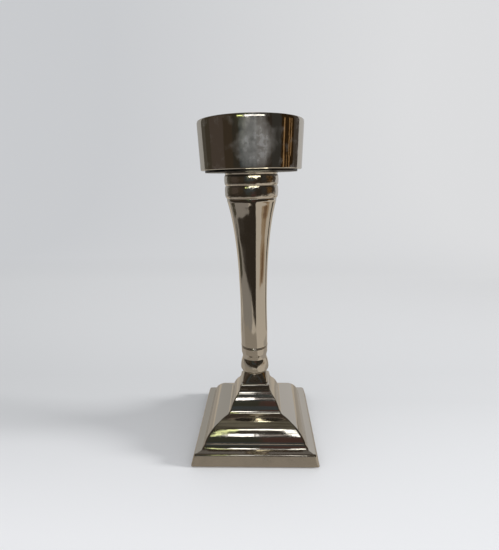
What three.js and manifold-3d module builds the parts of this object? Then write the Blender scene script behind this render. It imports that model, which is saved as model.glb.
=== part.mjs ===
// A tall pillar-candle holder: a square stepped base, a neck with a knop, a waisted stem, a two-bead
// collar and a straight-walled cup, stacked on one threaded rod. Millimetres, +Z up, standing on z = 0.
import * as THREE from "three";
import { mergeVertices } from "three/addons/utils/BufferGeometryUtils.js";
import Module from "manifold-3d";

const wasm = await Module();
wasm.setup();

// Driving dimensions
const PAD_STANDS_OUT = 1.0; // felt below the rim of the base; the metal parts are lifted by it
const GAP = 0.3; // left between pieces that touch
const BASE_HALF = 55; // half the width of the square plinth
const WALL = 4; // wall of the cast base
const ROD_RADIUS = 4; // M8
const HOLE_RADIUS = 4.6; // clearance hole for the rod
const BASE_TOP = 52.8;
const KNOP_FOOT = 62.4; // where the neck's square foot has turned round
const STEM_FOOT = 87.2; // joint between neck and stem
const COLLAR_FOOT = 221.3; // joint between stem and collar
const COLLAR_TOP = 242.1;
const CUP_FOOT = 243.9;
const CUP_TOP = 281.0;
const CUP_FLOOR = 2.4; // thickness of the cup's floor
const CUP_RADIUS_LOW = 41.3; // outside, at the foot
const CUP_RADIUS_HIGH = 42.6; // outside, at the rim
const CUP_WALL = 2;

// Spigots that centre one piece in the next
const NECK_SPIGOT = { radius: 8, length: 3 };
const STEM_SPIGOT = { radius: 7.5, length: 4 };
const COLLAR_SPIGOT = { radius: 12, length: 5 };

// Clamping hardware
const BOSS = { radius: 12, foot: 24 }; // round boss under the base that the washer bears on
const FENDER_WASHER = { radius: 15, thickness: 1.6 };
const SPLIT_WASHER = { radius: 6.9, thickness: 2, slit: 1.2 };
const NUT = { acrossFlats: 13, height: 6.5 };
const ROD_FOOT = 9;
const SINK = { radius: 9.5, depth: 4.5 }; // countersunk head of the sleeve nut, and its seat
const SLEEVE = { radius: 5.4, length: 16, bore: 4.3, cap: 3.2 };
const SLOT = { width: 2, depth: 1.4 };
const PAD = { radius: 7, thickness: 2.2, fromCorner: 11.5 };
const GUSSET_LEG = 30; // cast web across each corner that carries a pad

const ROUND = 40; // facets round a turned piece
const FINE = 60; // facets round the cup
const COARSE = 24; // facets round the hardware

// A profile in the half plane (radius, height), walked with the material on its left.
class Outline {
  constructor(r, z) {
    this.points = [new THREE.Vector2(r, z)];
  }

  line(r, z) {
    this.points.push(new THREE.Vector2(r, z));
    return this;
  }

  // an arc that stands proud of its chord by rise, or hollow when rise is negative
  arc(r, z, rise, steps) {
    const from = this.points.at(-1).clone();
    const to = new THREE.Vector2(r, z);
    const chord = to.clone().sub(from);
    const out = new THREE.Vector2(chord.y, -chord.x).normalize();
    const radius = (chord.lengthSq() / 4 + rise * rise) / (2 * rise);
    const centre = from.clone().add(to).multiplyScalar(0.5).addScaledVector(out, rise - radius);
    const sweep = 4 * Math.atan((2 * rise) / chord.length());
    for (let i = 1; i < steps; i += 1) {
      this.points.push(from.clone().rotateAround(centre, (sweep * i) / steps));
    }
    return this.line(r, z);
  }

  // a smooth curve on through the given stations
  curve(stations, steps) {
    const through = stations.map(([r, z]) => new THREE.Vector2(r, z));
    const spline = new THREE.SplineCurve([this.points.at(-1).clone(), ...through]);
    this.points.push(...spline.getPoints(steps).slice(1));
    return this;
  }

  closed() {
    this.points.push(this.points[0].clone());
    return this;
  }
}

function turned(outline, facets) {
  const geometry = new THREE.LatheGeometry(outline.points, facets);
  return geometry.rotateX(Math.PI / 2);
}

// A turning with four facets is a square piece with mitred corners; radii are then half-widths.
function squared(outline) {
  const toCorner = outline.points.map((p) => new THREE.Vector2(p.x * Math.SQRT2, p.y));
  const geometry = new THREE.LatheGeometry(toCorner, 4, Math.PI / 4);
  return geometry.rotateX(Math.PI / 2);
}

function prism(shape, z0, z1) {
  const geometry = new THREE.ExtrudeGeometry(shape, { depth: z1 - z0, bevelEnabled: false });
  return geometry.translate(0, 0, z0);
}

function disc(radius, z0, z1, facets) {
  return turned(new Outline(0, z0).line(radius, z0).line(radius, z1).line(0, z1), facets);
}

function washer(outer, inner, z0, z1, facets) {
  return turned(new Outline(inner, z0).line(outer, z0).line(outer, z1).line(inner, z1).closed(), facets);
}

function solid(geometry) {
  const bare = geometry.clone();
  bare.deleteAttribute("normal");
  bare.deleteAttribute("uv");
  const merged = mergeVertices(bare, 1e-4);
  const vertProperties = new Float32Array(merged.attributes.position.array);
  const kept = [];
  for (let i = 0; i < merged.index.count; i += 3) {
    const [a, b, c] = [0, 1, 2].map((k) => merged.index.getX(i + k));
    if (a !== b && b !== c && c !== a) kept.push(a, b, c);
  }
  const triVerts = new Uint32Array(kept);
  return new wasm.Manifold(new wasm.Mesh({ numProp: 3, vertProperties, triVerts }));
}

function surface(manifold) {
  const mesh = manifold.getMesh();
  const geometry = new THREE.BufferGeometry();
  geometry.setAttribute("position", new THREE.BufferAttribute(mesh.vertProperties, 3));
  geometry.setIndex(new THREE.BufferAttribute(mesh.triVerts, 1));
  return geometry;
}

function hexagon(acrossFlats) {
  const shape = new THREE.Shape();
  const corner = acrossFlats / Math.sqrt(3);
  for (let i = 0; i < 6; i += 1) {
    const angle = (i * Math.PI) / 3;
    const [x, y] = [corner * Math.cos(angle), corner * Math.sin(angle)];
    if (i === 0) shape.moveTo(x, y);
    else shape.lineTo(x, y);
  }
  return shape.closePath();
}

// The square base: drafted plinth, ledge, bead, large ovolo, tier 2 and tier 3, hollow underneath.
function baseCasting() {
  const cavityTop = 27.5;
  const shell = new Outline(0, cavityTop)
    .line(19, cavityTop)
    .arc(BASE_HALF - 15, 11, -3, 6)
    .line(BASE_HALF - 14, 6)
    .line(BASE_HALF - WALL - 1.5, 5.4)
    .line(BASE_HALF - WALL, 0)
    .line(BASE_HALF, 0)
    .line(52.3, 8.8)
    .arc(51.5, 9.6, 0.1, 2)
    .line(46.4, 10.1)
    .arc(44, 14.5, -0.35, 4)
    .arc(24.6, 29.9, 3, 10)
    .arc(22.4, 32.6, -0.22, 3)
    .arc(15.75, 44.8, 0.85, 6)
    .line(15.6, 45.4)
    .arc(14.3, 48.1, -0.25, 3)
    .line(13.4, 52)
    .arc(12.7, BASE_TOP, 0.04, 2)
    .line(0, BASE_TOP);
  let body = solid(squared(shell));
  body = body.add(solid(disc(BOSS.radius, BOSS.foot, cavityTop + WALL, ROUND)));
  for (const turn of [0, 1, 2, 3]) {
    body = body.add(solid(cornerGusset().rotateZ((turn * Math.PI) / 2)));
  }
  const counterbore = NECK_SPIGOT.radius + GAP;
  const bore = new Outline(0, BOSS.foot - 1)
    .line(HOLE_RADIUS, BOSS.foot - 1)
    .line(HOLE_RADIUS, BASE_TOP - NECK_SPIGOT.length - GAP)
    .line(counterbore, BASE_TOP - NECK_SPIGOT.length - GAP)
    .line(counterbore, BASE_TOP + 1)
    .line(0, BASE_TOP + 1);
  return surface(body.subtract(solid(turned(bore, ROUND))));
}

// A web across one corner of the hollow, set back so that its pad stands out by PAD_STANDS_OUT.
function cornerGusset() {
  const corner = BASE_HALF - WALL + 0.5;
  const under = PAD.thickness + GAP - PAD_STANDS_OUT;
  const shape = new THREE.Shape();
  shape.moveTo(corner, corner);
  shape.lineTo(corner - GUSSET_LEG, corner);
  shape.lineTo(corner, corner - GUSSET_LEG);
  shape.closePath();
  return prism(shape, under, under + WALL);
}

// Square foot turning round, knop bead and tapering barrel, with a spigot into the base.
function neckCasting() {
  const foot = BASE_TOP + GAP;
  const socket = STEM_SPIGOT.radius + GAP;
  const socketFloor = STEM_FOOT - STEM_SPIGOT.length - GAP;
  const spigotEnd = BASE_TOP - NECK_SPIGOT.length;
  const outline = new Outline(HOLE_RADIUS, spigotEnd)
    .line(NECK_SPIGOT.radius, spigotEnd)
    .line(NECK_SPIGOT.radius, foot)
    .line(12.7, foot)
    .arc(12.1, 54.2, -0.09, 2)
    .arc(10.4, KNOP_FOOT, -0.05, 3)
    .line(12, KNOP_FOOT + 1)
    .arc(13, 65.8, 0.3, 4)
    .arc(11, 76.2, 0.15, 4)
    .arc(11.85, 81, -0.2, 3)
    .line(12, STEM_FOOT - 0.7)
    .arc(11.6, STEM_FOOT, 0.15, 2)
    .line(socket, STEM_FOOT)
    .line(socket, socketFloor)
    .line(HOLE_RADIUS, socketFloor)
    .closed();
  return squareFoot(turned(outline, ROUND), foot, KNOP_FOOT);
}

// Draws the outer skin between two heights towards a square with rounded corners, most at the foot.
function squareFoot(geometry, foot, round) {
  const place = geometry.attributes.position;
  const squareness = 5; // exponent of the superellipse at the foot; 2 is a circle
  for (let i = 0; i < place.count; i += 1) {
    const [x, y, z] = [place.getX(i), place.getY(i), place.getZ(i)];
    const radius = Math.hypot(x, y);
    if (radius < NECK_SPIGOT.radius + 1 || z > round) continue;
    const blend = Math.min(1, (round - z) / (round - foot - 2));
    const power = 2 + (squareness - 2) * blend;
    const stretch = (Math.abs(x / radius) ** power + Math.abs(y / radius) ** power) ** (-1 / power);
    place.setXY(i, x * stretch, y * stretch);
  }
  return geometry;
}

// The waisted shaft: rounded lip at the foot, flare at the top, cored from above.
function stem() {
  const foot = STEM_FOOT + GAP;
  const spigotEnd = STEM_FOOT - STEM_SPIGOT.length;
  const socket = COLLAR_SPIGOT.radius + GAP;
  const coreFoot = 97;
  const outline = new Outline(HOLE_RADIUS, spigotEnd)
    .line(STEM_SPIGOT.radius, spigotEnd)
    .line(STEM_SPIGOT.radius, foot)
    .line(11.5, foot)
    .arc(12.4, 88.1, 0.2, 3)
    .line(12, 88.6)
    .curve([[12.15, 102], [11.9, 126], [12.3, 148], [13.3, 170], [15.2, 190], [17.4, 205],
      [19.45, 214.6], [20.3, 217.9]], 24)
    .arc(20.75, 220.6, 0.1, 3)
    .line(20.75, COLLAR_FOOT)
    .line(socket, COLLAR_FOOT)
    .line(socket, COLLAR_FOOT - COLLAR_SPIGOT.length - 2)
    .line(7.5, coreFoot)
    .line(HOLE_RADIUS, coreFoot - 4)
    .closed();
  return turned(outline, ROUND);
}

// Two rounded beads with narrow grooves above and between, and a thin lip on top, countersunk for the
// dished floor of the cup.
function collar() {
  const foot = COLLAR_FOOT + GAP;
  const spigotEnd = COLLAR_FOOT - COLLAR_SPIGOT.length;
  const bore = SLEEVE.radius + 0.6;
  const sinkTop = SINK.radius + CUP_FLOOR + 1;
  const outline = new Outline(bore, spigotEnd)
    .line(COLLAR_SPIGOT.radius, spigotEnd)
    .line(COLLAR_SPIGOT.radius, foot)
    .line(20.9, foot)
    .arc(22, 223.4, 0.15, 2)
    .arc(22.1, 230.3, 0.2, 4)
    .arc(21.4, 231.4, 0.2, 2)
    .line(21.4, 231.8)
    .arc(22.3, 233.5, 0.15, 2)
    .arc(22.3, 239.2, 0.18, 4)
    .arc(21.6, 240, 0.15, 2)
    .line(21.5, 240.3)
    .line(22.1, 241.7)
    .arc(21.7, COLLAR_TOP, 0.1, 2)
    .line(sinkTop, COLLAR_TOP)
    .line(bore, COLLAR_TOP - sinkTop + bore)
    .closed();
  return turned(outline, ROUND);
}

function seatPlate() {
  const hole = SINK.radius + CUP_FLOOR + 2;
  return washer(37.8, hole, COLLAR_TOP + GAP, CUP_FOOT - GAP, FINE);
}

// The cup: thin straight wall, rounded rim, flat floor dished in the middle for the nut's head.
function cup() {
  const inside = CUP_FOOT + CUP_FLOOR;
  const neck = SLEEVE.radius + GAP;
  const dish = SINK.radius + GAP + 0.4;
  const outline = new Outline(neck, inside - dish + neck - CUP_FLOOR)
    .line(neck + 1, inside - dish + neck - CUP_FLOOR)
    .line(dish + 1, CUP_FOOT)
    .line(CUP_RADIUS_LOW - 0.7, CUP_FOOT)
    .arc(CUP_RADIUS_LOW, CUP_FOOT + 0.7, 0.2, 2)
    .line(CUP_RADIUS_HIGH, CUP_TOP - 3.6)
    .arc(CUP_RADIUS_HIGH - 0.2, CUP_TOP - 0.7, 0.08, 2)
    .arc(CUP_RADIUS_HIGH - CUP_WALL, CUP_TOP - 0.7, 0.7, 4)
    .line(CUP_RADIUS_LOW - CUP_WALL + 0.1, inside + 2.5)
    .arc(CUP_RADIUS_LOW - CUP_WALL - 2.4, inside, -0.7, 3)
    .line(dish, inside)
    .line(neck, inside - dish + neck)
    .closed();
  return turned(outline, FINE);
}

function tieRod() {
  const top = CUP_FOOT + CUP_FLOOR - SLEEVE.cap - 1;
  return disc(ROD_RADIUS, ROD_FOOT, top, COARSE);
}

// A sleeve nut with a countersunk, slotted head, let into the floor of the cup from above.
function cupSleeveNut() {
  const top = CUP_FOOT + CUP_FLOOR - 0.1;
  const roof = top - SLEEVE.cap;
  const foot = top - SLEEVE.length;
  const outline = new Outline(0, roof)
    .line(SLEEVE.bore, roof)
    .line(SLEEVE.bore, foot)
    .line(SLEEVE.radius, foot)
    .line(SLEEVE.radius, top - SINK.depth)
    .line(SINK.radius, top - 0.4)
    .line(SINK.radius, top)
    .line(0, top);
  const slot = new THREE.BoxGeometry(2 * SINK.radius + 2, SLOT.width, 2 * SLOT.depth);
  slot.translate(0, 0, top);
  return surface(solid(turned(outline, COARSE)).subtract(solid(slot)));
}

const FENDER_TOP = BOSS.foot - GAP;
const SPLIT_TOP = FENDER_TOP - FENDER_WASHER.thickness - GAP;
const NUT_TOP = SPLIT_TOP - SPLIT_WASHER.thickness - GAP;

function fenderWasher() {
  return washer(FENDER_WASHER.radius, HOLE_RADIUS, FENDER_TOP - FENDER_WASHER.thickness, FENDER_TOP, COARSE);
}

function splitWasher() {
  const foot = SPLIT_TOP - SPLIT_WASHER.thickness;
  const ring = washer(SPLIT_WASHER.radius, HOLE_RADIUS, foot, SPLIT_TOP, COARSE);
  const slit = new THREE.BoxGeometry(2 * SPLIT_WASHER.radius, SPLIT_WASHER.slit, 4 * SPLIT_WASHER.thickness);
  slit.translate(SPLIT_WASHER.radius, 0, SPLIT_TOP);
  return surface(solid(ring).subtract(solid(slit)));
}

function baseNut() {
  const body = prism(hexagon(NUT.acrossFlats), NUT_TOP - NUT.height, NUT_TOP);
  const bore = disc(ROD_RADIUS + GAP, NUT_TOP - NUT.height - 1, NUT_TOP + 1, COARSE);
  return surface(solid(body).subtract(solid(bore)));
}

function material(color, metalness, roughness) {
  return new THREE.MeshStandardMaterial({ color, metalness, roughness });
}

const polishedNickel = material(0xc9c3b8, 1, 0.08);
const darkPlate = material(0x6b6a67, 1, 0.3);
const zincSteel = material(0xb0b2b4, 1, 0.35);
const blackFelt = material(0x2a2927, 0, 0.95);

const holder = new THREE.Group();
const metal = new THREE.Group();
metal.position.z = PAD_STANDS_OUT;
holder.add(metal);

function place(name, geometry, finish, parent) {
  const mesh = new THREE.Mesh(geometry, finish);
  mesh.name = name;
  parent.add(mesh);
  return mesh;
}

place("base_casting", baseCasting(), polishedNickel, metal);
place("neck_casting", neckCasting(), polishedNickel, metal);
place("stem", stem(), polishedNickel, metal);
place("collar", collar(), polishedNickel, metal);
place("seat_plate", seatPlate(), darkPlate, metal);
place("cup", cup(), polishedNickel, metal);
place("tie_rod", tieRod(), zincSteel, metal);
place("cup_sleeve_nut", cupSleeveNut(), polishedNickel, metal);
place("fender_washer", fenderWasher(), zincSteel, metal);
place("split_washer", splitWasher(), zincSteel, metal);
place("base_nut", baseNut(), zincSteel, metal);

const padPlace = BASE_HALF - PAD.fromCorner;
for (const [i, [x, y]] of [[1, 1], [-1, 1], [-1, -1], [1, -1]].entries()) {
  const pad = place(`felt_pad_${i + 1}`, disc(PAD.radius, 0, PAD.thickness, COARSE), blackFelt, holder);
  pad.position.set(x * padPlace, y * padPlace, 0);
}

export default holder;
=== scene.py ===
import math

import bmesh
import bpy
import numpy as np
from mathutils import Matrix, Vector, noise


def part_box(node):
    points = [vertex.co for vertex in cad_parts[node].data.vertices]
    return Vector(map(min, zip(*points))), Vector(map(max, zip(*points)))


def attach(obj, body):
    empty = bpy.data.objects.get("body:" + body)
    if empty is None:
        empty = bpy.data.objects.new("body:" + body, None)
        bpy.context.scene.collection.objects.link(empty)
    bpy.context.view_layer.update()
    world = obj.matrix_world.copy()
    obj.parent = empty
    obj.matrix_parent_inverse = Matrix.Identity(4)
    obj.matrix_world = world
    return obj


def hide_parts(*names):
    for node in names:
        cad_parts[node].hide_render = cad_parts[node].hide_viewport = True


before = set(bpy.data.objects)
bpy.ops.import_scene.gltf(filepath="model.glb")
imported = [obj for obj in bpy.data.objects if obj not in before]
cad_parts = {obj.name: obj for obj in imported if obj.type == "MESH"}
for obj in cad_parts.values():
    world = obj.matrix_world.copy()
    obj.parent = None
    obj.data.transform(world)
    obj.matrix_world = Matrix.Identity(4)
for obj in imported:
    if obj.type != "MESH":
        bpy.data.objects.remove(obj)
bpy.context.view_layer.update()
noise.seed_set(1)  # noise_vector takes its offsets from this seed, so every run gives the same shapes

MM = 0.001
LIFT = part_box("base_casting")[0].z  # the felt pads carry the metal this far above the floor


def span(cad_node):
    """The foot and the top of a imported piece, in millimetres above the metal's foot."""
    low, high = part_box(cad_node)
    return (low.z - LIFT) / MM, (high.z - LIFT) / MM


# Heights of the joints above the metal's foot, and the main radii, all in millimetres
BASE_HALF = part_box("base_casting")[1].x / MM
BASE_TOP = span("base_casting")[1]
STEM_FOOT = span("neck_casting")[1]
COLLAR_FOOT = span("stem")[1]
COLLAR_TOP = span("collar")[1]
CUP_FOOT = span("seat_plate")[1]
CUP_TOP = span("cup")[1]
CUP_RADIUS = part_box("cup")[1].x / MM

HOLE = 4.6  # radius of the clearance hole for the rod
WALL = 4.0  # wall of the cast base
PLINTH_TOP = 8.8  # where the plinth's drafted side turns in to the ledge
ROOF = 27.5  # height of the roof inside the hollow base
KNOP_FOOT = 62.4  # where the square foot of the neck has turned round
CUP_WALL = 2.0
CUP_FLOOR = 2.4
CUP_TAPER = 1.3  # the cup's radius is this much less at its foot
SINK = 9.5  # radius of the sleeve nut's head
SLEEVE = 5.4  # radius of the sleeve nut's shank
ROD = 4.0  # radius of the rod
JOINT = 0.05  # gap between two castings that are clamped together
OPEN_JOINT = 0.25  # the wider gap under the stem, which shows as a dark line


# ---------------------------------------------------------------- outlines

class Outline:
    """A profile in the half plane (radius, height), walked with the material on its left."""

    def __init__(self, r, z):
        self.points = [(float(r), float(z))]

    def line(self, r, z):
        self.points.append((float(r), float(z)))
        return self

    def arc(self, r, z, rise):
        """An arc that stands proud of its chord by rise, or hollow when rise is negative."""
        start, end = np.array(self.points[-1]), np.array((r, z), float)
        chord = end - start
        length = np.hypot(*chord)
        out = np.array((chord[1], -chord[0])) / length
        radius = (length ** 2 / 4 + rise ** 2) / (2 * rise)
        centre = (start + end) / 2 + out * (rise - radius)
        sweep = 4 * math.atan(2 * rise / length)
        steps = max(3, math.ceil(abs(sweep) / math.radians(4)))
        for i in range(1, steps):
            a = sweep * i / steps
            spoke = start - centre
            turned = (spoke[0] * math.cos(a) - spoke[1] * math.sin(a),
                      spoke[0] * math.sin(a) + spoke[1] * math.cos(a))
            self.points.append((centre[0] + turned[0], centre[1] + turned[1]))
        return self.line(r, z)

    def curve(self, stations):
        """A smooth Catmull-Rom curve on through the given stations."""
        knots = np.array([self.points[-1], *stations], float)
        ends = np.vstack([2 * knots[0] - knots[1], knots, 2 * knots[-1] - knots[-2]])
        for i in range(1, len(ends) - 2):
            p0, p1, p2, p3 = ends[i - 1:i + 3]
            for t in np.linspace(0, 1, 13)[1:]:
                self.points.append(tuple(0.5 * (2 * p1 + (p2 - p0) * t
                                                + (2 * p0 - 5 * p1 + 4 * p2 - p3) * t ** 2
                                                + (3 * p1 - 3 * p2 + p3 - p0) * t ** 3)))
        return self

    def closed(self):
        self.points.append(self.points[0])
        return self


def band(inner, outer, foot, top):
    """The outline of a flat ring."""
    return Outline(inner, foot).line(outer, foot).line(outer, top).line(inner, top).closed()


def eased(points, rounding, step=0.1, longest=1.6):
    """The outline with its corners rounded over about the given length, in few but even enough points."""
    raw = np.array(points, float)
    along = np.concatenate([[0], np.cumsum(np.hypot(*np.diff(raw, axis=0).T))])
    count = max(8, int(along[-1] / step))
    at = np.linspace(0, along[-1], count)
    fine = np.column_stack([np.interp(at, along, raw[:, k]) for k in (0, 1)])
    loop = np.allclose(raw[0], raw[-1])
    reach = max(1, int(3 * rounding / step))
    weights = np.exp(-0.5 * (np.arange(-reach, reach + 1) * step / rounding) ** 2)
    weights /= weights.sum()
    if loop:
        padded = np.vstack([fine[-reach - 1:-1], fine, fine[1:reach + 1]])
    else:
        padded = np.vstack([2 * fine[0] - fine[reach:0:-1], fine, 2 * fine[-1] - fine[-2:-reach - 2:-1]])
    soft = np.column_stack([np.convolve(padded[:, k], weights, "valid") for k in (0, 1)])
    soft[0], soft[-1] = fine[0], fine[-1]
    if loop:
        soft[0] = soft[-1] = (soft[1] + soft[-2]) / 2
    kept, flat_enough = [0], 0.004
    for i in range(1, count - 1):
        a, b = soft[kept[-1]], soft[i + 1]
        chord = b - a
        length = np.hypot(*chord) or 1e-9
        middle = soft[kept[-1] + 1:i + 1] - a
        bow = np.abs(middle[:, 0] * chord[1] - middle[:, 1] * chord[0]).max() / length
        if bow > flat_enough or length > longest:
            kept.append(i)
    return soft[kept + [count - 1]]


# ---------------------------------------------------------------- meshes

def placed(name, data):
    """A new object in the scene that shows the given data."""
    made = bpy.data.objects.new(name, data)
    bpy.context.scene.collection.objects.link(made)
    return made


def smoothed(mesh, crease):
    """Shades the mesh smooth except across edges sharper than crease, in degrees."""
    mesh.shade_smooth()
    mesh.set_sharp_from_angle(angle=math.radians(crease))
    return mesh


def skin(name, rings, material):
    """A closed body from rings of points: joined end to end when the last ring is the first, else capped."""
    rings = np.array(rings, float) * MM
    rings[:, :, 2] += LIFT
    loop = np.allclose(rings[0], rings[-1])
    if loop:
        rings = rings[:-1]
    count, around = rings.shape[:2]
    mesh = bpy.data.meshes.new(name)
    faces = []
    for i in range(count if loop else count - 1):
        a, b = i * around, ((i + 1) % count) * around
        for j in range(around):
            k = (j + 1) % around
            faces.append((a + j, a + k, b + k, b + j))
    if not loop:
        faces.append(tuple(range(around - 1, -1, -1)))
        faces.append(tuple((count - 1) * around + j for j in range(around)))
    mesh.from_pydata(rings.reshape(-1, 3).tolist(), [], faces)
    work = bmesh.new()
    work.from_mesh(mesh)
    bmesh.ops.remove_doubles(work, verts=work.verts, dist=1e-7)
    bmesh.ops.recalc_face_normals(work, faces=work.faces)
    work.to_mesh(mesh)
    work.free()
    smoothed(mesh, 40).materials.append(material)
    return placed(name, mesh)


def turned_rings(points, around=160):
    """Rings round the axis, one through each (radius, height)."""
    angles = np.linspace(0, 2 * math.pi, around, endpoint=False)
    ring = np.column_stack([np.cos(angles), np.sin(angles)])
    return [np.column_stack([ring * r, np.full(around, z)]) for r, z in points]


def rounded_square(half, corner, across=34, round_steps=7):
    """Points round a square of the given half width whose mitres are eased to a small radius."""
    corner = min(corner, half * 0.98)
    flat = np.sin(np.linspace(-math.pi / 2, math.pi / 2, across)) * (half - corner)
    side = [(half, y) for y in flat]
    turn = [(half - corner + corner * math.cos(a), half - corner + corner * math.sin(a))
            for a in np.linspace(0, math.pi / 2, round_steps + 2)[1:-1]]
    points = []
    for k in range(4):
        c, s = round(math.cos(k * math.pi / 2)), round(math.sin(k * math.pi / 2))
        points += [(x * c - y * s, x * s + y * c) for x, y in side + turn]
    return np.array(points)


def square_rings(points, corner):
    """corner(half, height) is the radius of the eased mitre there."""
    rings = []
    for half, z in points:
        flat = rounded_square(max(half, 0.001), corner(half, z))
        rings.append(np.column_stack([flat, np.full(len(flat), z)]))
    return rings


def hand_polished(rings, amount, grain, start):
    """Moves each point by up to about amount, in waves of about grain, as buffing wheels leave cast metal.

    start is where in the noise the waves begin, so that no two pieces have the same ones.
    """
    shift = Vector((start, -start, start / 2))
    moved = []
    for ring in rings:
        out = []
        for x, y, z in ring:
            point = Vector((x, y, z))
            out.append(point + amount * noise.noise_vector(point / grain + shift))
        moved.append(np.array(out))
    if np.allclose(rings[0], rings[-1]):
        moved[-1] = moved[0]
    return moved


# ---------------------------------------------------------------- materials
# Texture scales are per metre, bump and crevice distances in metres.

def shader(name, base, metallic, roughness):
    """A material with its Principled node set, and its tree and node ready for more."""
    material = bpy.data.materials.new(name)
    material.use_nodes = True
    tree = material.node_tree
    principled = tree.nodes["Principled BSDF"]
    principled.inputs["Base Color"].default_value = (*base, 1)
    principled.inputs["Metallic"].default_value = metallic
    principled.inputs["Roughness"].default_value = roughness
    return material, tree, principled


def node(tree, kind, inputs=None, **settings):
    """A new node with its inputs linked to sockets or set to values, and its own settings."""
    made = tree.nodes.new(kind)
    for key, value in settings.items():
        setattr(made, key, value)
    for key, value in (inputs or {}).items():
        if isinstance(value, bpy.types.NodeSocket):
            tree.links.new(value, made.inputs[key])
        else:
            made.inputs[key].default_value = value
    return made


def ramp(tree, value, stops):
    """Maps a value through stops: [(position, grey or (r, g, b)), ...]."""
    made = node(tree, "ShaderNodeValToRGB", {"Fac": value})
    elements = made.color_ramp.elements
    while len(elements) < len(stops):
        elements.new(0.5)
    for element, (position, colour) in zip(elements, stops):
        element.position = position
        rgb = (colour,) * 3 if isinstance(colour, (int, float)) else colour
        element.color = (*rgb, 1)
    return made.outputs["Color"]


def mixed(tree, factor, first, second):
    """Mixes two colours: sockets or (r, g, b)."""
    made = node(tree, "ShaderNodeMix", data_type="RGBA")
    sockets = {s.identifier: s for s in made.inputs}
    for key, value in (("Factor_Float", factor), ("A_Color", first), ("B_Color", second)):
        if isinstance(value, bpy.types.NodeSocket):
            tree.links.new(value, sockets[key])
        elif isinstance(value, (int, float)):
            sockets[key].default_value = value
        else:
            sockets[key].default_value = (*value, 1)
    return {s.identifier: s for s in made.outputs}["Result_Color"]


def noise_value(tree, place, scale, detail=2.0, distortion=0.0):
    made = node(tree, "ShaderNodeTexNoise",
                {"Vector": place, "Scale": scale, "Detail": detail, "Distortion": distortion})
    return made.outputs["Fac"]


def stretched(tree, place, scale):
    """The place vector with each axis scaled, to draw a texture out along the others."""
    return node(tree, "ShaderNodeMapping", {"Vector": place, "Scale": scale}).outputs["Vector"]


def bumped(tree, height, strength, distance, onto=None):
    """A normal tilted by the slope of a height, on top of another normal where one is given."""
    inputs = {"Height": height, "Strength": strength, "Distance": distance}
    if onto is not None:
        inputs["Normal"] = onto
    return node(tree, "ShaderNodeBump", inputs).outputs["Normal"]


def math_node(tree, operation, *values):
    """The result of one operation on sockets or numbers."""
    made = node(tree, "ShaderNodeMath", operation=operation)
    for socket, value in zip(made.inputs, values):
        if isinstance(value, bpy.types.NodeSocket):
            tree.links.new(value, socket)
        else:
            socket.default_value = value
    return made.outputs["Value"]


NICKEL = (0.78, 0.73, 0.66)
NICKEL_PALE, NICKEL_DULL = (0.80, 0.745, 0.665), (0.73, 0.69, 0.63)
TARNISH = (0.30, 0.25, 0.19)
GREASE = (0.43, 0.44, 0.45)


def handling_film(tree, place, centre, reach):
    """Where fingers have left a greasy film: a soft patch of cloud and up-and-down wipe marks, 0 to 1."""
    from_centre = node(tree, "ShaderNodeMapping", {"Vector": place,
                                                   "Location": [-c / r for c, r in zip(centre, reach)],
                                                   "Scale": [1 / r for r in reach]}).outputs["Vector"]
    nearness = node(tree, "ShaderNodeTexGradient", {"Vector": from_centre}, gradient_type="SPHERICAL")
    frayed = math_node(tree, "MULTIPLY_ADD", noise_value(tree, place, 120, 4), 0.8, nearness.outputs["Fac"])
    patch = ramp(tree, frayed, [(0.45, 0.0), (1.15, 1.0)])
    cloud = ramp(tree, noise_value(tree, place, 260, 6), [(0.34, 0.42), (0.66, 1.0)])
    streaks = noise_value(tree, stretched(tree, place, (340, 340, 22)), 1.0, 2)
    wipe = ramp(tree, streaks, [(0.3, 0.55), (0.7, 1.0)])
    return math_node(tree, "MULTIPLY", patch, math_node(tree, "MULTIPLY", cloud, wipe))


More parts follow.
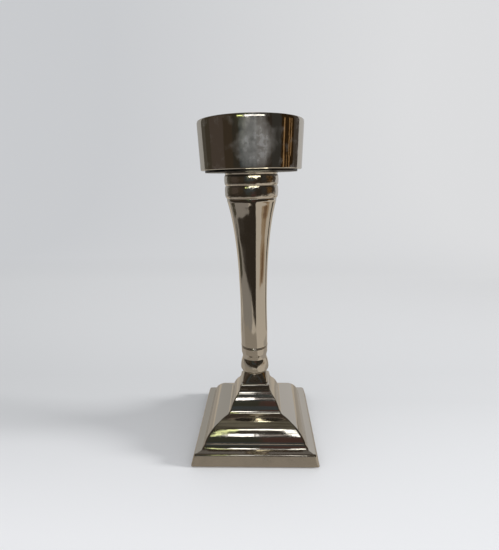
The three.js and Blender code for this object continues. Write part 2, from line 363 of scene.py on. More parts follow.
def polished_nickel(name, smoothness=0.05, pitting=0.0, brushed=0.0, haze=0.5, waviness=0.2, grainy=0.0,
                    handled=None):
    """Buffed nickel plate: hairline scratches, smudges, wavy polish, dull dark grooves and small cast pits.

    handled is the centre and the reach of a film of finger marks, in metres.
    """
    material, tree, principled = shader(name, NICKEL, 1.0, smoothness)
    place = node(tree, "ShaderNodeTexCoord").outputs["Object"]

    crevice = node(tree, "ShaderNodeAmbientOcclusion", {"Distance": 0.004}, samples=8).outputs["AO"]
    groove = ramp(tree, crevice, [(0.25, 1.0), (0.75, 0.0)])
    smudge = ramp(tree, noise_value(tree, place, 55, 5, 0.6), [(0.42, 0.0), (0.72, 1.0)])
    hairline = noise_value(tree, stretched(tree, place, (1400, 1400, 60)), 1.0, 3)
    cloud = noise_value(tree, place, 18, 3)

    clean = mixed(tree, cloud, NICKEL_PALE, NICKEL_DULL)
    worn = mixed(tree, math_node(tree, "MULTIPLY", groove, 0.55), clean, TARNISH)
    rough = math_node(tree, "MULTIPLY_ADD", smudge, 0.07 * haze, smoothness)
    if handled:
        film = handling_film(tree, place, *handled)
        worn = mixed(tree, math_node(tree, "MULTIPLY", film, 0.9), worn, GREASE)
        metal = math_node(tree, "SUBTRACT", 1.0, math_node(tree, "MULTIPLY", film, 0.47))
        tree.links.new(metal, principled.inputs["Metallic"])
        rough = math_node(tree, "ADD", rough, math_node(tree, "MULTIPLY", film, 0.2))
    tree.links.new(worn, principled.inputs["Base Color"])
    rough = math_node(tree, "ADD", rough, math_node(tree, "MULTIPLY", groove, 0.22))
    rough = math_node(tree, "ADD", rough, math_node(tree, "MULTIPLY", hairline, 0.03 + brushed))
    tree.links.new(rough, principled.inputs["Roughness"])

    normal = bumped(tree, noise_value(tree, place, 95, 2), waviness, 0.0004)
    normal = bumped(tree, hairline, 0.03 + 0.5 * brushed, 0.0002, normal)
    if grainy:
        normal = bumped(tree, noise_value(tree, place, 620, 2), grainy, 0.0003, normal)
    if pitting:
        pits = node(tree, "ShaderNodeTexVoronoi", {"Vector": place, "Scale": 420.0}).outputs["Distance"]
        pit = ramp(tree, pits, [(0.10, 0.0), (0.22, 1.0)])
        where = ramp(tree, noise_value(tree, place, 160, 2), [(0.52, 0.0), (0.62, 1.0)])
        hole = math_node(tree, "MULTIPLY", math_node(tree, "SUBTRACT", 1.0, pit), where)
        normal = bumped(tree, hole, -pitting, 0.0006, normal)
    tree.links.new(normal, principled.inputs["Normal"])
    return material


def raw_casting():
    """The unpolished inside of the base: grey sand-cast skin."""
    material, tree, principled = shader("raw_casting", (0.33, 0.32, 0.30), 0.85, 0.55)
    place = node(tree, "ShaderNodeTexCoord").outputs["Object"]
    sand = noise_value(tree, place, 1400, 6)
    patch = noise_value(tree, place, 60, 4)
    colour = ramp(tree, patch, [(0.3, (0.20, 0.19, 0.17)), (0.7, (0.42, 0.40, 0.37))])
    tree.links.new(colour, principled.inputs["Base Color"])
    rough = ramp(tree, sand, [(0.3, 0.42), (0.7, 0.78)])
    tree.links.new(rough, principled.inputs["Roughness"])
    tree.links.new(bumped(tree, sand, 0.7, 0.0006), principled.inputs["Normal"])
    return material


def dark_plate():
    """The seat plate, coloured near-black as painted shade under the cup, with lighter patches."""
    material, tree, principled = shader("seat_plate_painted_shade", (0.05, 0.048, 0.045), 0.9, 0.35)
    place = node(tree, "ShaderNodeTexCoord").outputs["Object"]
    rub = noise_value(tree, place, 140, 5, 0.4)
    # the near-black colour is painted shade under the cup
    colour = ramp(tree, rub, [(0.35, (0.025, 0.024, 0.023)), (0.75, (0.13, 0.12, 0.11))])
    tree.links.new(colour, principled.inputs["Base Color"])
    tree.links.new(ramp(tree, rub, [(0.3, 0.28), (0.8, 0.5)]), principled.inputs["Roughness"])
    tree.links.new(bumped(tree, noise_value(tree, place, 900, 4), 0.2, 0.0003), principled.inputs["Normal"])
    return material


def zinc_steel():
    """Zinc-plated hardware: cool, satin, faintly spangled, with dirt in the corners."""
    material, tree, principled = shader("zinc_steel", (0.60, 0.61, 0.62), 1.0, 0.3)
    place = node(tree, "ShaderNodeTexCoord").outputs["Object"]
    spangle = noise_value(tree, place, 320, 3, 1.0)
    crevice = node(tree, "ShaderNodeAmbientOcclusion", {"Distance": 0.002}, samples=8).outputs["AO"]
    bright = ramp(tree, spangle, [(0.3, (0.48, 0.49, 0.50)), (0.7, (0.68, 0.68, 0.67))])
    colour = mixed(tree, ramp(tree, crevice, [(0.3, 0.8), (0.8, 0.0)]), bright, (0.10, 0.09, 0.07))
    tree.links.new(colour, principled.inputs["Base Color"])
    tree.links.new(ramp(tree, spangle, [(0.3, 0.22), (0.75, 0.42)]), principled.inputs["Roughness"])
    tree.links.new(bumped(tree, noise_value(tree, place, 1500, 4), 0.15, 0.0002), principled.inputs["Normal"])
    return material


def black_felt():
    """Pressed felt: dark, with a matted fibre surface and a soft sheen."""
    material, tree, principled = shader("black_felt", (0.03, 0.028, 0.026), 0.0, 0.95)
    principled.inputs["Sheen Weight"].default_value = 0.35
    place = node(tree, "ShaderNodeTexCoord").outputs["Object"]
    fibre = noise_value(tree, place, 2600, 8, 2.5)
    colour = ramp(tree, fibre, [(0.3, (0.012, 0.011, 0.010)), (0.75, (0.075, 0.070, 0.064))])
    tree.links.new(colour, principled.inputs["Base Color"])
    tree.links.new(bumped(tree, fibre, 0.9, 0.0006), principled.inputs["Normal"])
    return material


# ---------------------------------------------------------------- the pieces

def stands_for(piece, cad_node):
    """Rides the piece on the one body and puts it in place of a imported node, or beside them for None."""
    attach(piece, "root")
    if cad_node:
        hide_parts(cad_node)
    return piece


def base_outer():
    """From the rim of the plinth up over the ledge, cove and three tiers to the top, as half widths."""
    return (Outline(BASE_HALF - WALL, 0)
            .line(BASE_HALF, 0)
            .line(52.3, PLINTH_TOP)
            .arc(51.5, 9.6, 0.1)
            .line(46.4, 10.1)
            .arc(44, 14.5, -0.35)
            .arc(24.6, 29.9, 3)
            .arc(22.4, 32.6, -0.22)
            .arc(15.75, 44.8, 0.85)
            .line(15.6, 45.4)
            .arc(14.3, 48.1, -0.25)
            .line(13.4, 52)
            .arc(12.7, BASE_TOP, 0.04)
            .line(0, BASE_TOP))


def base_casting(nickel, raw, satin):
    under = (Outline(0, ROOF)
             .line(19, ROOF)
             .arc(BASE_HALF - 15, 11, -3)
             .line(BASE_HALF - 14, 6)
             .line(BASE_HALF - WALL - 1.5, 5.4)
             .line(BASE_HALF - WALL, 0))
    profile = eased(under.points + base_outer().points[1:], 0.22)
    rings = square_rings(profile, lambda half, z: 0.7 + 0.02 * half)
    piece = skin("base_shell", hand_polished(rings, 0.05, 16, 3.1), nickel)
    mesh = piece.data
    mesh.materials.append(raw)
    mesh.materials.append(satin)
    raw_index, satin_index = 1, 2
    hollow_half, hollow_top = (BASE_HALF - WALL + 0.6) * MM, LIFT + (ROOF + 1) * MM
    satin_top = LIFT + (PLINTH_TOP - 0.2) * MM
    for face in mesh.polygons:
        c, n = face.center, face.normal
        inside = max(abs(c.x), abs(c.y)) < hollow_half and c.z < hollow_top
        if inside and (n.z < -0.02 or c.x * n.x + c.y * n.y < 0):
            face.material_index = raw_index
        elif not inside and c.z < satin_top:
            face.material_index = satin_index
    return stands_for(piece, "base_casting")


def base_boss(raw):
    foot, top = ROOF - 3.5, ROOF + 0.4
    outline = Outline(HOLE, foot).line(12, foot).line(12.8, top).line(HOLE, top).closed()
    piece = skin("base_boss", turned_rings(eased(outline.points, 0.3), 72), raw)
    return stands_for(piece, None)


def base_webs(raw):
    """The cast web across each corner of the hollow that carries a felt pad."""
    corner, leg = BASE_HALF - WALL + 0.4, 30
    flat = [(corner, corner), (corner - leg, corner), (corner, corner - leg)]
    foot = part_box("felt_pad_1")[1].z + 0.3 * MM
    top = foot + WALL * MM
    work = bmesh.new()
    for turn in range(4):
        spin = Matrix.Rotation(turn * math.pi / 2, 4, "Z")
        low = [work.verts.new(spin @ Vector((x * MM, y * MM, foot))) for x, y in flat]
        high = [work.verts.new(spin @ Vector((x * MM, y * MM, top))) for x, y in flat]
        work.faces.new(low[::-1])
        work.faces.new(high)
        for i in range(3):
            work.faces.new((low[i], low[(i + 1) % 3], high[(i + 1) % 3], high[i]))
    bmesh.ops.recalc_face_normals(work, faces=work.faces)
    bmesh.ops.bevel(work, geom=work.edges[:], offset=0.8 * MM, segments=3, affect="EDGES", profile=0.5)
    mesh = bpy.data.meshes.new("base_webs")
    work.to_mesh(mesh)
    work.free()
    smoothed(mesh, 35).materials.append(raw)
    return stands_for(placed("base_webs", mesh), None)


def neck_casting(nickel):
    foot = BASE_TOP + JOINT
    outline = (Outline(HOLE, foot)
               .line(12.7, foot)
               .arc(12.1, 54.2, -0.09)
               .arc(10.4, KNOP_FOOT, -0.05)
               .line(12, KNOP_FOOT + 1)
               .arc(13, 65.8, 0.3)
               .arc(11, 76.2, 0.4)
               .arc(11.85, 81, -0.2)
               .line(12, STEM_FOOT - 0.7)
               .arc(11.6, STEM_FOOT, 0.15)
               .line(HOLE, STEM_FOOT)
               .closed())
    rings = []
    for ring in turned_rings(eased(outline.points, 0.22)):
        x, y, z = ring.T
        squareness = max(0.0, min(1.0, (KNOP_FOOT - z[0]) / (KNOP_FOOT - BASE_TOP - 2)))
        power = 2 + 3 * squareness  # 2 gives a circle and 5 a rounded square
        radius = np.hypot(x, y)
        spread = (np.abs(x / radius) ** power + np.abs(y / radius) ** power) ** (-1 / power)
        spread = np.where(radius > HOLE + 1, spread, 1)
        rings.append(np.column_stack([x * spread, y * spread, z]))
    piece = skin("neck", hand_polished(rings, 0.05, 7, 8.7), nickel)
    return stands_for(piece, "neck_casting")


def stem(nickel):
    foot = STEM_FOOT + OPEN_JOINT
    outline = (Outline(HOLE, foot)
               .line(11.5, foot)
               .arc(12.4, 88.1, 0.2)
               .line(12, 88.6)
               .curve([(12.15, 102), (11.9, 126), (12.3, 148), (13.3, 170), (15.2, 190), (17.4, 205),
                       (19.45, 214.6), (20.3, 217.9)])
               .arc(20.75, 220.6, 0.1)
               .line(20.75, COLLAR_FOOT)
               .line(10, COLLAR_FOOT)
               .line(7.5, 97)
               .line(HOLE, 93)
               .closed())
    rings = turned_rings(eased(outline.points, 0.22))
    piece = skin("stem_shaft", hand_polished(rings, 0.02, 22, 5.3), nickel)
    return stands_for(piece, "stem")


def collar(nickel):
    foot = COLLAR_FOOT + JOINT
    bore = SLEEVE + 0.6
    outline = (Outline(bore, foot)
               .line(20.9, foot)
               .arc(22, 223.4, 0.15)
               .arc(22.1, 230.3, 0.2)
               .arc(21.4, 231.4, 0.2)
               .line(21.4, 231.8)
               .arc(22.3, 233.5, 0.15)
               .arc(22.3, 239.2, 0.18)
               .arc(21.6, 240, 0.15)
               .line(21.5, 240.3)
               .line(22.1, 241.7)
               .arc(21.7, COLLAR_TOP, 0.1)
               .line(13, COLLAR_TOP)
               .line(bore, COLLAR_TOP - 7)
               .closed())
    rings = turned_rings(eased(outline.points, 0.18))
    piece = skin("beaded_collar", hand_polished(rings, 0.04, 9, 1.9), nickel)
    return stands_for(piece, "collar")


def seat_plate(dark):
    outline = band(14, 37.8, COLLAR_TOP + 0.1, CUP_FOOT + 0.2)
    piece = skin("seat_plate_disc", turned_rings(eased(outline.points, 0.15)), dark)
    return stands_for(piece, "seat_plate")


def cup(nickel):
    foot = CUP_FOOT + 0.3
    inside = foot + CUP_FLOOR
    outer = CUP_RADIUS - CUP_TAPER
    inner = outer - CUP_WALL
    bore, dish = SLEEVE + 0.3, SINK + 0.5
    dish_foot = inside - dish + SLEEVE - CUP_FLOOR
    rim = CUP_TOP - 0.4
    outline = (Outline(bore, dish_foot)
               .line(bore + 1, dish_foot)
               .line(dish + 1, foot)
               .line(outer - 0.7, foot)
               .arc(outer, foot + 0.7, 0.2)
               .line(CUP_RADIUS, CUP_TOP - 2.7)
               .arc(CUP_RADIUS - 0.25, rim, 0.09)
               .arc(CUP_RADIUS - CUP_WALL, rim, 0.37)
               .line(inner + 0.1, inside + 2.5)
               .arc(inner - 2.4, inside, -0.7)
               .line(dish, inside)
               .line(bore, inside - dish + bore)
               .closed())
    rings = turned_rings(eased(outline.points, 0.15), 240)
    piece = skin("cup_shell", hand_polished(rings, 0.05, 30, 6.4), nickel)
    return stands_for(piece, "cup")


def cut_by(piece, cutter):
    """piece with cutter taken away, as a plain mesh."""
    step = piece.modifiers.new("cut", "BOOLEAN")
    step.operation, step.object, step.solver = "DIFFERENCE", cutter, "EXACT"
    evaluated = piece.evaluated_get(bpy.context.evaluated_depsgraph_get())
    mesh = bpy.data.meshes.new_from_object(evaluated)
    piece.modifiers.clear()
    piece.data = smoothed(mesh, 35)
    bpy.data.objects.remove(cutter)
    return piece


def sleeve_nut(nickel):
    foot, top = span("cup_sleeve_nut")
    outline = (Outline(0, foot).line(SLEEVE, foot).line(SLEEVE, top - 4.5).line(SINK, top - 0.5)
               .arc(SINK - 0.5, top, 0.15).line(0, top))
    piece = skin("sleeve_nut", turned_rings(eased(outline.points, 0.12), 96), nickel)
    slot_foot, beyond = top - 1.4, top + 1
    slot = Outline(0, slot_foot).line(SINK + 1, slot_foot).line(SINK + 1, beyond).line(0, beyond)
    cutter = skin("slot_cutter", square_rings(slot.points, lambda half, z: 0.01), nickel)
    cutter.scale = (1, 0.1, 1)
    bpy.context.view_layer.update()
    return stands_for(cut_by(piece, cutter), "cup_sleeve_nut")


def screw_rings(foot, top, depth=0.65, pitch=1.25, around=48):
    """Rings of a rod whose surface carries a real helical thread, tapered over its first turns."""
    angles = np.linspace(0, 2 * math.pi, around, endpoint=False)
    rings = []
    for z in np.arange(foot, top, pitch / 10):
        phase = (z / pitch - angles / (2 * math.pi)) % 1.0
        ridge = np.clip(1.3 - np.abs(phase - 0.5) * 3.2, 0, 1)
        lead = min(1.0, z - foot + 0.25)
        r = (ROD - depth + depth * ridge) * (0.86 + 0.14 * lead)
        rings.append(np.column_stack([np.cos(angles) * r, np.sin(angles) * r, np.full(around, z)]))
    return rings


def tie_rod(zinc):
    foot, top = span("tie_rod")
    thread_top, plain_radius = ROOF + 2.5, ROD - 0.1
    threaded = screw_rings(foot, thread_top)
    plain = turned_rings([(plain_radius, thread_top + 0.5), (plain_radius, top)], 48)
    piece = skin("threaded_rod", threaded + plain, zinc)
    return stands_for(piece, "tie_rod")


def hex_nut(zinc):
    """A hexagon nut with both faces chamfered, bored to sit on the rod."""
    foot, top = span("base_nut")
    flats, bevel, lip, around = 6.5, 0.6, 0.06, 144
    angles = np.linspace(0, 2 * math.pi, around, endpoint=False)
    hexagon = flats / np.cos((angles % (math.pi / 3)) - math.pi / 6)
    chamfer = lip + (hexagon - flats) * math.tan(math.radians(30))
    circle = np.column_stack([np.cos(angles), np.sin(angles)])

    def ring(radius, z):
        return np.column_stack([circle * np.reshape(radius, (-1, 1)), np.broadcast_to(z, around)])

    bore = np.full(around, ROD - 0.05)
    mouth = bore + 0.5
    flat_circle = np.full(around, flats - 0.1)
    rings = [ring(bore, foot + bevel), ring(mouth, foot), ring(flat_circle, foot),
             ring(hexagon, foot + chamfer), ring(hexagon, top - chamfer),
             ring(flat_circle, top), ring(mouth, top), ring(bore, top - bevel),
             ring(bore, foot + bevel)]
    return stands_for(skin("hex_nut", rings, zinc), "base_nut")


def flat_washer(zinc):
    outline = band(HOLE, 15, *span("fender_washer"))
    piece = skin("wide_washer", turned_rings(eased(outline.points, 0.18), 120), zinc)
    return stands_for(piece, "fender_washer")


def spring_washer(zinc):
    """A ring of square section, slit through on one side."""
    section = eased(band(HOLE, 6.9, *span("split_washer")).points, 0.12)[:-1]
    half_slit = 0.1  # in radians
    rings = []
    for a in np.linspace(half_slit, 2 * math.pi - half_slit, 90):
        rings.append(np.array([(r * math.cos(a), r * math.sin(a), z) for r, z in section]))
    return stands_for(skin("spring_washer", rings, zinc), "split_washer")


def felt_pads(felt):
    for k in range(1, 5):
        low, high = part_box(f"felt_pad_{k}")
        middle = (low + high) / 2 / MM
        top, radius = high.z / MM, (high.x - low.x) / 2 / MM
        apart = Vector((k * 9, 0, 0))  # gives each pad fuzz of its own
        outline = (Outline(0, 0).line(radius - 0.5, 0).arc(radius, 0.8, 0.2)
                   .line(radius - 0.1, top).line(0, top))
        rings = []
        for ring in turned_rings(eased(outline.points, 0.2, longest=0.6), 72):
            fuzz = np.array([noise.noise(Vector(point) * 1.3 + apart) for point in ring])
            shrink = 1 - 0.012 * (1 + fuzz)
            rings.append(np.column_stack([ring[:, 0] * shrink + middle.x, ring[:, 1] * shrink + middle.y,
                                          ring[:, 2] - LIFT / MM]))
        stands_for(skin(f"pad_{k}", rings, felt), f"felt_pad_{k}")


nickel_base = polished_nickel("nickel_base", 0.05)
nickel_neck = polished_nickel("nickel_neck", 0.07, pitting=0.3, waviness=0.02, grainy=0.12)
nickel_stem = polished_nickel("nickel_stem", 0.05, waviness=0.04)
nickel_collar = polished_nickel("nickel_collar", 0.06, pitting=0.8, grainy=0.6)
finger_marks = (0.0045, -0.0425, LIFT + 0.260), (0.016, 0.022, 0.026)  # centre and reach, in metres
nickel_cup = polished_nickel("nickel_cup", 0.05, haze=0.6, handled=finger_marks)
nickel_nut = polished_nickel("nickel_nut", 0.07, haze=1.0)
raw = raw_casting()
zinc = zinc_steel()
satin = polished_nickel("nickel_plinth", 0.10, brushed=0.10, haze=1.5)

base_casting(nickel_base, raw, satin)
base_boss(raw)
base_webs(raw)
neck_casting(nickel_neck)
stem(nickel_stem)
collar(nickel_collar)
seat_plate(dark_plate())
cup(nickel_cup)
sleeve_nut(nickel_nut)
tie_rod(zinc)
hex_nut(zinc)
flat_washer(zinc)
spring_washer(zinc)
felt_pads(black_felt())


# ---------------------------------------------------------------- camera and studio

def photograph_camera():
    """A 35 mm-format camera a hand's breadth below the rim of the cup, tipped down and a little askew."""
    data = bpy.data.cameras.new("camera")
    data.sensor_width = 36
    data.lens = 23.56
    data.clip_start = 0.01
    camera = placed("camera", data)
    place = (0.00845, -0.30896, 0.23606 + LIFT)
    pan, tilt, roll = math.radians(2.165), math.radians(14.788), math.radians(-1.221)
    turn = (Matrix.Rotation(pan, 4, "Z") @ Matrix.Rotation(math.pi / 2 - tilt, 4, "X")
            @ Matrix.Rotation(roll, 4, "Z"))
    camera.matrix_world = Matrix.Translation(place) @ turn
    bpy.context.scene.camera = camera


def studio_paper():
    """Matt pale paper whose colour holds painted light and shade: lighter in front and far away than in
    between, and to the right.
    """
    material, tree, principled = shader("studio_paper", (0.8, 0.8, 0.81), 0.0, 0.9)
    principled.inputs["Specular IOR Level"].default_value = 0.0
    place = node(tree, "ShaderNodeTexCoord").outputs["Object"]
    split = node(tree, "ShaderNodeSeparateXYZ", {"Vector": place})
    x, y, z = (split.outputs[axis] for axis in "XYZ")
    # these ramps paint light and shade into the paper: lighter in front, far away and to the right, darker in
    # between and to the left
    sideways = math_node(tree, "MULTIPLY_ADD", x, 0.3, 0.5)
    middle = ramp(tree, math_node(tree, "ADD", y, 0.2), [(0.08, 0.0), (0.24, 1.0)])
    distance = ramp(tree, y, [(0.10, 0.0), (0.55, 1.0)])
    horizon = ramp(tree, math_node(tree, "ADD", y, z), [(0.55, 0.0), (0.85, 1.0)])
    front = ramp(tree, sideways, [(0.5, (0.86, 0.865, 0.88)), (0.6, (0.81, 0.82, 0.835))])
    back = ramp(tree, sideways, [(0.25, (0.59, 0.60, 0.61)), (0.75, (0.76, 0.765, 0.775))])
    far = ramp(tree, sideways, [(0.25, (0.745, 0.755, 0.765)), (0.75, (1.0, 1.0, 1.0))])
    painted_wall_light = ramp(tree, sideways, [(0.25, (0.815, 0.825, 0.84)), (0.75, (1.0, 1.0, 1.0))])
    painted_floor_light = mixed(tree, distance, mixed(tree, middle, front, back), far)
    tree.links.new(mixed(tree, horizon, painted_floor_light, painted_wall_light), principled.inputs["Base Color"])
    return material


def studio_bowl():
    """A seamless pale floor that curves up into a round wall; the camera sees it, and reflections don't."""
    floor, sweep, top = 1.2, 0.9, 3.0
    profile = [(0.0, 0.0), (floor, 0.0)]
    for a in np.linspace(0, math.pi / 2, 24)[1:]:
        profile.append((floor + sweep * math.sin(a), sweep - sweep * math.cos(a)))
    profile.append((floor + sweep, top))
    count = 96
    angles = np.linspace(0, 2 * math.pi, count, endpoint=False)
    verts = [(r * math.cos(a), r * math.sin(a), z) for r, z in profile for a in angles]
    faces = []
    for i in range(len(profile) - 1):
        for j in range(count):
            k = (j + 1) % count
            faces.append((i * count + j, i * count + k, (i + 1) * count + k, (i + 1) * count + j))
    mesh = bpy.data.meshes.new("studio_bowl")
    mesh.from_pydata(verts, [], faces)
    mesh.shade_smooth()
    bowl = placed("studio_bowl", mesh)
    mesh.materials.append(studio_paper())
    bowl.visible_glossy = False
    bowl.visible_diffuse = False
    bowl.visible_shadow = False


def studio_world():
    """Pale soft light on everything matt; reflections see the dim room beyond the cards instead."""
    world = bpy.data.worlds.new("studio")
    bpy.context.scene.world = world
    world.use_nodes = True
    tree = world.node_tree
    path = node(tree, "ShaderNodeLightPath")
    colour = mixed(tree, path.outputs["Is Glossy Ray"], (0.72, 0.725, 0.735), (0.030, 0.024, 0.018))
    tree.links.new(colour, tree.nodes["Background"].inputs["Color"])


def key_light():
    """A soft lamp low on the right, its beam kept to the floor so that the wall stays even."""
    data = bpy.data.lights.new("key", "SPOT")
    data.energy, data.shadow_soft_size = 258, 0.28
    data.spot_size, data.spot_blend = math.radians(22), 0.7
    lamp = placed("key", data)
    place, target = Vector((2.42, -0.12, 0.72)), Vector((-0.05, 0, 0.05))
    aim = (target - place).to_track_quat("-Z", "Y").to_matrix().to_4x4()
    lamp.matrix_world = Matrix.Translation(place) @ aim
    lamp.visible_glossy = False


# ---------------------------------------------------------------- what the nickel mirrors
# Glowing cards that only reflections see: the table, the pale backdrop behind, and the dim room in front.

DAYLIGHT = (2.4, 2.4, 2.3)
GARDEN = (1.5, 1.65, 0.85)


def glow(name, mesh, colour, low=None, grain=None):
    """A lit surface that only reflections see; with low and grain it is mottled instead of even."""
    panel = placed(name, mesh)
    material = bpy.data.materials.new(name)
    material.use_nodes = True
    tree = material.node_tree
    tree.nodes.clear()
    lamp = node(tree, "ShaderNodeEmission", {"Color": (*colour, 1)})
    out = node(tree, "ShaderNodeOutputMaterial")
    tree.links.new(lamp.outputs["Emission"], out.inputs["Surface"])
    if grain:
        place = stretched(tree, node(tree, "ShaderNodeTexCoord").outputs["Object"], (grain,) * 3)
        mottle = noise_value(tree, place, 1.0, 3)
        tree.links.new(ramp(tree, mottle, [(0.35, low), (0.65, colour)]), lamp.inputs["Color"])
    mesh.materials.append(material)
    panel.visible_camera = False
    panel.visible_diffuse = False
    panel.visible_shadow = False


def card(name, colour, corners, low=None, grain=None):
    """A flat glowing panel with the given corners, in metres."""
    mesh = bpy.data.meshes.new(name)
    mesh.from_pydata(corners, [], [tuple(range(len(corners)))])
    glow(name, mesh, colour, low, grain)


def on_table(name, colour, corners, lift=0.0001):
    """A flat patch lying on the table, corners in metres; lift keeps it clear of the patches below it."""
    table_top = -0.0002
    card(name, colour, [(x, y, table_top + lift) for x, y in corners])


def on_shelf(name, colour, corners, drop=0.001):
    """A flat patch on the underside of the shelf that hides the rim's lamps from the base."""
    shelf = 0.345
    card(name, colour, [(x, y, shelf - drop) for x, y in corners])


def window(name, colour, corners, distance=1.5, low=None, grain=None):
    """A patch of lamp, sky or room as the base sees it: corners as degrees to the right and pitch.

    Pitch is the angle up from the front and on over the top, also in degrees.
    """
    eye = 0.03
    places = []
    for side, pitch in corners:
        s, p = math.radians(side), math.radians(pitch)
        places.append((distance * math.sin(s), -distance * math.cos(s) * math.cos(p),
                       eye + distance * math.cos(s) * math.sin(p)))
    card(name, colour, places, low, grain)


def wall(name, colour, left, right, low, high, distance=1.6):
    """An upright panel as the cup sees it, between two azimuths and two elevations in degrees.

    Azimuth is the angle from the front (-Y) towards +X.
    """
    eye = 0.26
    azimuths = np.linspace(left, right, max(2, int(abs(right - left) / 10) + 1))
    verts = []
    for e in (low, high):
        for a in np.radians(azimuths):
            verts.append((distance * math.sin(a), -distance * math.cos(a),
                          eye + distance * math.tan(math.radians(e))))
    n = len(azimuths)
    mesh = bpy.data.meshes.new(name)
    mesh.from_pydata(verts, [], [(i, i + 1, n + i + 1, n + i) for i in range(n - 1)])
    glow(name, mesh, colour)


def mirrored_table():
    """The table, dimmer on its left and in front, with a brown box and the shades that lie on it."""
    left_edge = [(-1.6, 1.2), (-0.75, 0.12), (-0.60, 0), (-0.53, -0.10), (-0.46, -0.20),
                 (-0.385, -0.28), (-0.293, -0.325), (-0.125, -0.375)]
    on_table("table", (0.47, 0.425, 0.36),
             [*left_edge, (0.04, -0.32), (0.085, -0.277), (0.24, -0.49), (0.5, -0.45), (0.8, -0.2),
              (1.6, -0.1), (1.6, 1.2)], lift=0)
    on_table("table_left", (0.235, 0.21675, 0.1944),
             [*left_edge, (-0.06, -0.32), (-0.20, -0.05), (-0.34, 0.10), (-0.70, 0.60), (-1.2, 1.2)],
             lift=0.00005)
    on_table("table_front", (0.27, 0.24, 0.20),
             [(-0.13, -0.24), (0.04, -0.26), (0.085, -0.25), (0.06, -0.03), (-0.20, -0.01),
              (-0.32, 0.03), (-0.24, -0.19)])
    on_table("brown_box", (0.30, 0.22, 0.14),
             [(0.33, -0.255), (0.39, -0.262), (0.445, -0.27), (0.62, -0.10), (0.56, 0.10), (0.50, 0.06),
              (0.452, -0.03), (0.426, -0.13)])
    on_table("brown_core", (0.15, 0.09, 0.05),
             [(0.40, -0.20), (0.46, -0.20), (0.56, -0.06), (0.53, 0.0), (0.49, -0.04), (0.44, -0.09)],
             lift=0.0002)
    on_table("shade_left", (0.06, 0.055, 0.04),
             [(-0.20, 0.13), (-0.40, 0.24), (-0.47, 0.18), (-0.50, 0.0), (-0.545, 0.0), (-0.60, 0.10),
              (-0.635, 0.15), (-0.635, 0.24), (-0.60, 0.31), (-0.38, 0.29), (-0.20, 0.16)], lift=0.0002)
    on_table("shade_right", (0.06, 0.05, 0.04),
             [(0.20, 0.14), (0.38, 0.25), (0.50, 0.29), (0.60, 0.32), (0.68, 0.40), (0.70, 0.58),
              (0.58, 0.52), (0.46, 0.42), (0.34, 0.34), (0.18, 0.18)])
    on_table("own_shade", (0.34, 0.31, 0.27),
             [(-0.30, -0.01), (-0.05, -0.04), (0.05, -0.04), (0.20, 0.0), (0.20, 0.15), (-0.30, 0.15)])


def mirrored_room():
    """What stands round the table: the backdrop, dim furniture, brass edges on the right and three lamps."""
    wall("backdrop", (0.47, 0.465, 0.46), 124, 184, -12, 48)
    wall("backdrop_left", (0.34, 0.335, 0.32), 184, 237, -12, 48)
    for name, left, right, colour in (("curtain", -123, -108, (0.075, 0.068, 0.055)),
                                      ("shelf", -108, -92, (0.050, 0.042, 0.030)),
                                      ("doorway", -92, -56, (0.066, 0.052, 0.042)),
                                      ("cupboard", -56, -36, (0.044, 0.033, 0.022)),
                                      ("corner", -36, -22, (0.033, 0.029, 0.022)),
                                      ("shirt", -22, 14, (0.045, 0.052, 0.054)),
                                      ("far_wall", 46, 68, (0.036, 0.034, 0.030)),
                                      ("panelling", 68, 104, (0.026, 0.015, 0.006)),
                                      ("recess", 104, 124, (0.060, 0.050, 0.042))):
        wall(name, colour, left, right, -9, 40)
    for left, right, low, high in ((72.5, 75, -9, 9), (86.5, 88.5, 0.5, 9), (92.5, 94.5, 0.5, 9),
                                   (81, 82.5, -9, 0.5), (88.5, 90.5, -9, 0.5)):
        wall(f"brass_edge_{left:.0f}", (0.32, 0.19, 0.085), left, right, low, high, distance=0.6)
    for name, left, right, colour in (("lamp_left", -24, -13.5, (1.7, 1.9, 0.75)),
                                      ("lamp_middle", -9.5, 9, (3, 3, 3)),
                                      ("lamp_right", 11, 29.5, (3, 3, 2.9))):
        wall(name, colour, left, right, 10, 20, distance=0.5)


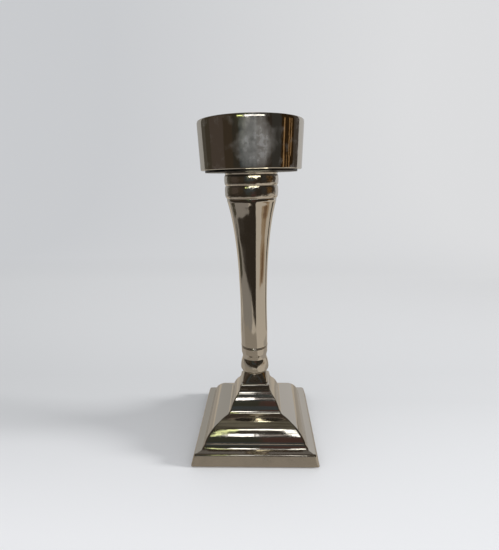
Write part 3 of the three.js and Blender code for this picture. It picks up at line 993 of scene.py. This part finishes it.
def mirrored_shelf():
    """A dark shelf before the base and above the cup, with a green strip and three panes let into it."""
    on_shelf("shelf_shadow", (0.035, 0.030, 0.025),
             [(-0.30, -0.54), (0.30, -0.54), (0.30, -0.375), (-0.30, -0.375)], drop=0)
    on_shelf("shelf_garden", GARDEN,
             [(-0.070, -0.385), (-0.088, -0.385), (-0.130, -0.54), (-0.112, -0.54)])
    on_shelf("shelf_pane", (2.6, 2.6, 2.6),
             [(-0.064, -0.396), (-0.012, -0.396), (-0.012, -0.52), (-0.078, -0.52)])
    on_shelf("shelf_grey", (0.24, 0.22, 0.21),
             [(-0.012, -0.415), (0.054, -0.415), (0.064, -0.50), (-0.012, -0.50)])
    on_shelf("shelf_end", DAYLIGHT,
             [(0.062, -0.385), (0.078, -0.385), (0.102, -0.54), (0.088, -0.54)])


def mirrored_ceiling():
    """Lamps, panes and a mottled ceiling over the base, chairs before it, and a painted glint close under the
    cup.
    """
    window("lamp_tube", (2.6, 2.6, 2.5), [(-4, 54.5), (4.2, 54), (4.2, 58.5), (-4, 58)])
    window("pane_right", DAYLIGHT, [(4.2, 58.5), (4.2, 54), (5.0, 44), (6.4, 40), (6.4, 44), (5.8, 55)])
    window("garden", GARDEN,
           [(-4, 58), (-4, 54.5), (-5.6, 51), (-7.2, 42), (-8.4, 42), (-7.4, 50), (-5.6, 57)])
    window("spot", (2.4, 2.4, 2.4), [(-9.5, 79), (-8.2, 79), (-8.2, 82), (-9.5, 82)])
    window("chair", (0.062, 0.036, 0.030), [(0.5, 8), (16, 8), (16, 27), (0.5, 27)], distance=0.38)
    window("chair_side", (0.036, 0.037, 0.028), [(-16, 8), (0.5, 8), (0.5, 27), (-16, 27)], distance=0.38)
    window("ceiling", (0.15, 0.14, 0.105), [(-20, 60), (20, 60), (20, 100), (-20, 100)],
           low=(0.04, 0.034, 0.026), grain=4.5)
    window("ceiling_back", (0.045, 0.035, 0.028), [(-20, 100), (20, 100), (20, 124), (-20, 124)])
    # a glowing card close under the cup: painted window light glinting off the cup's underside and collar,
    # which the base mirrors
    left, right, front, back, under_cup = -0.003, 0.014, -0.040, -0.028, 0.242
    card("painted_glint_under_cup", (5.5, 5.2, 3.9),
         [(left, back, under_cup), (right, back, under_cup),
          (right, front, under_cup), (left, front, under_cup)],
         low=(0.05, 0.045, 0.03), grain=420)
    window("skylight", (0.17, 0.16, 0.13), [(-11, 64), (-4.5, 64), (-4.5, 80), (-11, 80)], distance=1.4)
    window("cornice", (0.13, 0.12, 0.11), [(-30, 124), (30, 124), (30, 131), (-30, 131)])


photograph_camera()
studio_bowl()
studio_world()
key_light()
mirrored_table()
mirrored_room()
mirrored_shelf()
mirrored_ceiling()

bpy.context.scene.view_settings.view_transform = "Standard"
